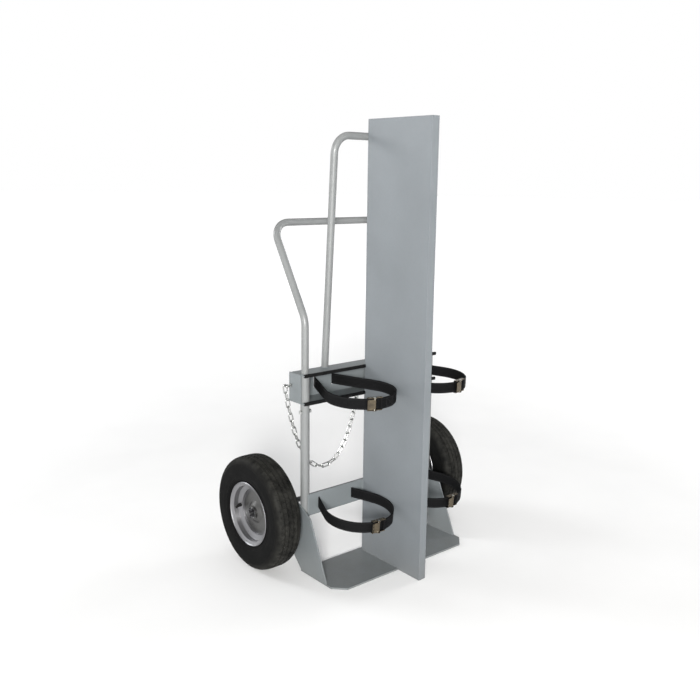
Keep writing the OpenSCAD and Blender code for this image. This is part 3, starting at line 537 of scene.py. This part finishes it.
def belt(side, level):
    """The belt, the fold sewn round its buckle's bar and the stitches that hold it."""
    line, front, buckle, flat = belt_path(side, level)
    ribbon(f"{side}_{level}_strap", line, BELT_W, BELT_T, True, [f"{side}_{level}_belt"])
    flat_in = BELT_MID * math.cos(flat) - BELT_T / 2
    bar_out = flat_in + BELT_T + SEAT_GAP + BAR_R
    bar_along = BUCKLE_L / 2 - BAR_IN - BAR_R
    wrap = BAR_R + FOLD_T / 2 + BAR_GAP
    lap_r = BELT_MID + BELT_T / 2 + FOLD_T / 2 + BELT_GAP

    def near_bar(out, along):
        c, s = math.cos(buckle), math.sin(buckle)
        return front(c * out - s * along, s * out + c * along)

    def on_lap(run, lift=0.0):
        a = buckle + flat + run / lap_r
        return front((lap_r + lift) * math.cos(a), (lap_r + lift) * math.sin(a))

    fold = [near_bar(bar_out + wrap * math.cos(a), bar_along + wrap * math.sin(a))
            for a in np.radians(np.linspace(-110, 48, 16))]
    fold += [on_lap(run) for run in np.linspace(FOLD_START, FOLD_RUN, 22)]
    ribbon(f"{side}_{level}_fold", fold, BELT_W - FOLD_NARROWER, FOLD_T, False)

    # A sewn box with a cross, as rows from one corner (run, across) to another
    a, b, c, d = ((BOX_NEAR, -BOX_HALF), (BOX_FAR, -BOX_HALF), (BOX_NEAR, BOX_HALF), (BOX_FAR, BOX_HALF))
    verts, faces = [], []
    for start, end in ((a, b), (c, d), (a, c), (b, d), (a, d), (c, b)):
        count = round(math.dist(start, end) / STITCH_PITCH)
        for k in range(count):
            stitch = []
            for f in ((k + STITCH_FROM) / count, (k + STITCH_TO) / count):
                run, across = (v + (w - v) * f for v, w in zip(start, end))
                at, wide = on_lap(run, FOLD_T / 2 + STITCH_LIFT)
                stitch.append(at + wide * across)
            gather(verts, faces, bead(stitch, STITCH_R))
    make(f"{side}_{level}_stitches", verts, faces, "webbing", "frame", look="thread")


# Weld beads at the frame's joints

BEAD_STEP, BEAD_SIDES, BEAD_END = 0.0016, 8, 0.45
RIPPLE_LOW, RIPPLE_RISE = 0.82, 0.22
CIRCLE_POINTS = 28


def bead(path, radius, closed=False):
    """Rippled bead along a line; returns its verts and faces."""
    points = []
    n = len(path)
    for i in range(n if closed else n - 1):
        a, b = Vector(path[i]), Vector(path[(i + 1) % n])
        steps = max(1, round((b - a).length / BEAD_STEP))
        points += [a.lerp(b, k / steps) for k in range(steps)]
    if not closed:
        points.append(Vector(path[-1]))
    verts, m = [], len(points)
    for i, at in enumerate(points):
        ahead = points[(i + 1) % m] if closed or i < m - 1 else at
        behind = points[i - 1] if closed or i else at
        t = (ahead - behind).normalized()
        u = t.orthogonal().normalized()
        v = t.cross(u)
        r = radius * (RIPPLE_LOW + RIPPLE_RISE * abs(math.sin(i * math.pi / 3.0 + 0.4)))
        if not closed and (i == 0 or i == m - 1):
            r *= BEAD_END
        for j in range(BEAD_SIDES):
            a = 2 * math.pi * j / BEAD_SIDES
            verts.append(at + (u * math.cos(a) + v * math.sin(a)) * r)
    return verts, tube_faces(m, BEAD_SIDES, closed)


def circle(at, radius, axis):
    out = []
    for i in range(CIRCLE_POINTS):
        a = 2 * math.pi * i / CIRCLE_POINTS
        c, s = radius * math.cos(a), radius * math.sin(a)
        out.append(Vector(at) + (Vector((c, s, 0)) if axis == "Z" else Vector((0, c, s))))
    return out


def weld_beads():
    """All the beads as one piece. The small numbers set a bead off its corner or stop it short of an end."""
    verts, faces = [], []

    def straight(start, end, radius):
        gather(verts, faces, bead([start, end], radius))

    def ring(at, around, radius, axis="Z"):
        gather(verts, faces, bead(circle(at, around, axis), radius, closed=True))

    for s in (-1, 1):
        # Post to side plate, on both sides of the tube
        x = s * (SIDE_IN - 0.0008)
        for dy in (-0.0072, 0.0072):
            straight((x, POST_Y + dy, 0.05), (x, POST_Y + dy, 0.222), 0.0026)
        # Side plate to base plate
        x, z = s * (SIDE_IN - 0.0004), BASE_T + 0.0004
        straight((x, SIDE_FRONT + 0.004, z), (x, BASE_BACK - 0.002, z), 0.0028)
        # Cross plate to post
        x, y = s * (POST_X - 0.0128), CROSS_BACK + 0.0004
        straight((x, y, CROSS_Z + 0.002), (x, y, CROSS_TOP - 0.002), 0.0024)
        # Round the post under the channel, the handle and the hoop above it, and the axle
        ring((s * POST_X, POST_Y, CHANNEL_Z - 0.0002), POST_R + 0.0006, 0.0022)
        ring((s * POST_X, POST_Y, CHANNEL_TOP + 0.0001), TUBE_R + 0.0018, 0.0017)
        ring((s * HOOP_X, HOOP_FOOT_Y, CHANNEL_TOP + 0.0002), TUBE_R + 0.0006, 0.0023)
        ring((s * (SIDE_IN - 0.0002), AXLE_Y, AXLE_Z), AXLE_R + 0.0006, 0.0021, "X")
    # Panel to base plate and to cross plate, on both sides
    for x in (PANEL_LEFT - 0.0004, PANEL_RIGHT + 0.0004):
        z = BASE_T + 0.0002
        straight((x, BASE_FRONT + 0.004, z), (x, PANEL_BACK - 0.003, z), 0.0026)
        y = PANEL_BACK - 0.0002
        straight((x, y, CROSS_Z + 0.003), (x, y, CROSS_TOP - 0.003), 0.0024)
    # Panel to hoop, over and under the bar
    y = PANEL_BACK + 0.0012
    for dz in (-0.0075, 0.0075):
        z = HOOP_BAR_Z + dz
        straight((PANEL_LEFT + 0.002, y, z), (PANEL_RIGHT - 0.002, y, z), 0.0023)
    make("weld_beads", verts, faces, "frame_paint", "frame")


for side in ("left", "right"):
    tyre(side)
    for level in LEVELS:
        belt(side, level)
weld_beads()


# Floor, light and camera

FLOOR_R, FLOOR_FADE, FLOOR_DROP = 60, 10.0, 0.0006
# Brightness of the sky, as stops of (height from 0 to 1, grey)
SKY = ((0.22, 1.0), (0.45, 0.38))
CAMERA_AT = (-1.91534, -2.19022, 1.37262)
CAMERA_RIGHT = (0.75945635, -0.65038265, 0.01511502)
CAMERA_UP = (0.11824058, 0.16084276, 0.97987181)
CAMERA_BACK = (-0.63972277, -0.74238266, 0.19905467)


def floor():
    """White floor that glows more with distance, as painted light, so that it runs into the low sky with no line
    between them.
    """
    m = Nodes("floor")
    tone = m.ramp(m.noise(m.place(), scale=3.0), (0.3, 0.86), (0.7, 0.88))
    m.set(Base_Color=tone, Roughness=0.8, Specular_IOR_Level=0.2)
    # The floor's glow, rising with distance, is painted light.
    far = m.add("VectorMath", out="Value", settings={"operation": "LENGTH"}, i0=m.place())
    far = m.ramp(m.math("MULTIPLY", far, 1 / FLOOR_FADE), (0.15, 0.0), (0.72, 0.64))
    m.set(Emission_Color=(1.0, 1.0, 1.0, 1.0), Emission_Strength=far)
    mesh = bpy.data.meshes.new("floor")
    edge = [(FLOOR_R * math.cos(a), FLOOR_R * math.sin(a), 0) for a in np.linspace(0, 2 * math.pi, 97)[:-1]]
    mesh.from_pydata(edge, [], [tuple(range(len(edge)))])
    mesh.materials.append(m.material)
    obj = bpy.data.objects.new("floor", mesh)
    obj.location.z = -FLOOR_DROP
    scene.collection.objects.link(obj)


def area_light(name, at, aim_z, size, power, colour=(1, 1, 1)):
    """A square light that looks at a height on the trolley's middle line."""
    light = bpy.data.lights.new(name, "AREA")
    light.shape = "RECTANGLE"
    light.size = light.size_y = size
    light.energy = power
    light.color = colour
    obj = bpy.data.objects.new(name, light)
    obj.location = at
    obj.rotation_euler = (Vector((0, 0, aim_z)) - Vector(at)).to_track_quat("-Z", "Y").to_euler()
    scene.collection.objects.link(obj)


def low_white_sky():
    """A sky that is white near the horizon and dimmer above."""
    world = bpy.data.worlds.new("studio")
    world.use_nodes = True
    tree = world.node_tree
    heading = tree.nodes.new("ShaderNodeTexCoord")
    split = tree.nodes.new("ShaderNodeSeparateXYZ")
    dome = tree.nodes.new("ShaderNodeValToRGB")
    for stop, (height, grey) in zip(dome.color_ramp.elements, SKY):
        stop.position, stop.color = height, (grey, grey, grey, 1)
    tree.links.new(heading.outputs["Generated"], split.inputs[0])
    tree.links.new(split.outputs["Z"], dome.inputs[0])
    tree.links.new(dome.outputs[0], tree.nodes["Background"].inputs["Color"])
    scene.world = world


def photo_camera():
    """The camera as it was solved on the photograph."""
    lens = bpy.data.cameras.new("photo")
    lens.sensor_width = 36.0
    lens.lens = 42.25
    lens.shift_x, lens.shift_y = -0.0201, -0.0094
    camera = bpy.data.objects.new("photo", lens)
    turn = Matrix((CAMERA_RIGHT, CAMERA_UP, CAMERA_BACK)).transposed().to_4x4()
    camera.matrix_world = Matrix.Translation(CAMERA_AT) @ turn
    scene.collection.objects.link(camera)
    scene.camera = camera


floor()
area_light("key", (-5.34, -6.11, 2.48), aim_z=0.75, size=1.4, power=1050, colour=(1.0, 0.99, 0.97))
area_light("back", (-3.6, 6.0, 3.4), aim_z=0.7, size=2.4, power=190, colour=(0.97, 0.985, 1.0))
area_light("fill", (6.5, -0.8, 2.6), aim_z=0.7, size=2.6, power=150)
area_light("top", (0.3, 0.3, 4.3), aim_z=0.5, size=2.6, power=14)
low_white_sky()
scene.view_settings.view_transform = "Standard"
photo_camera()

bpy.context.view_layer.update()
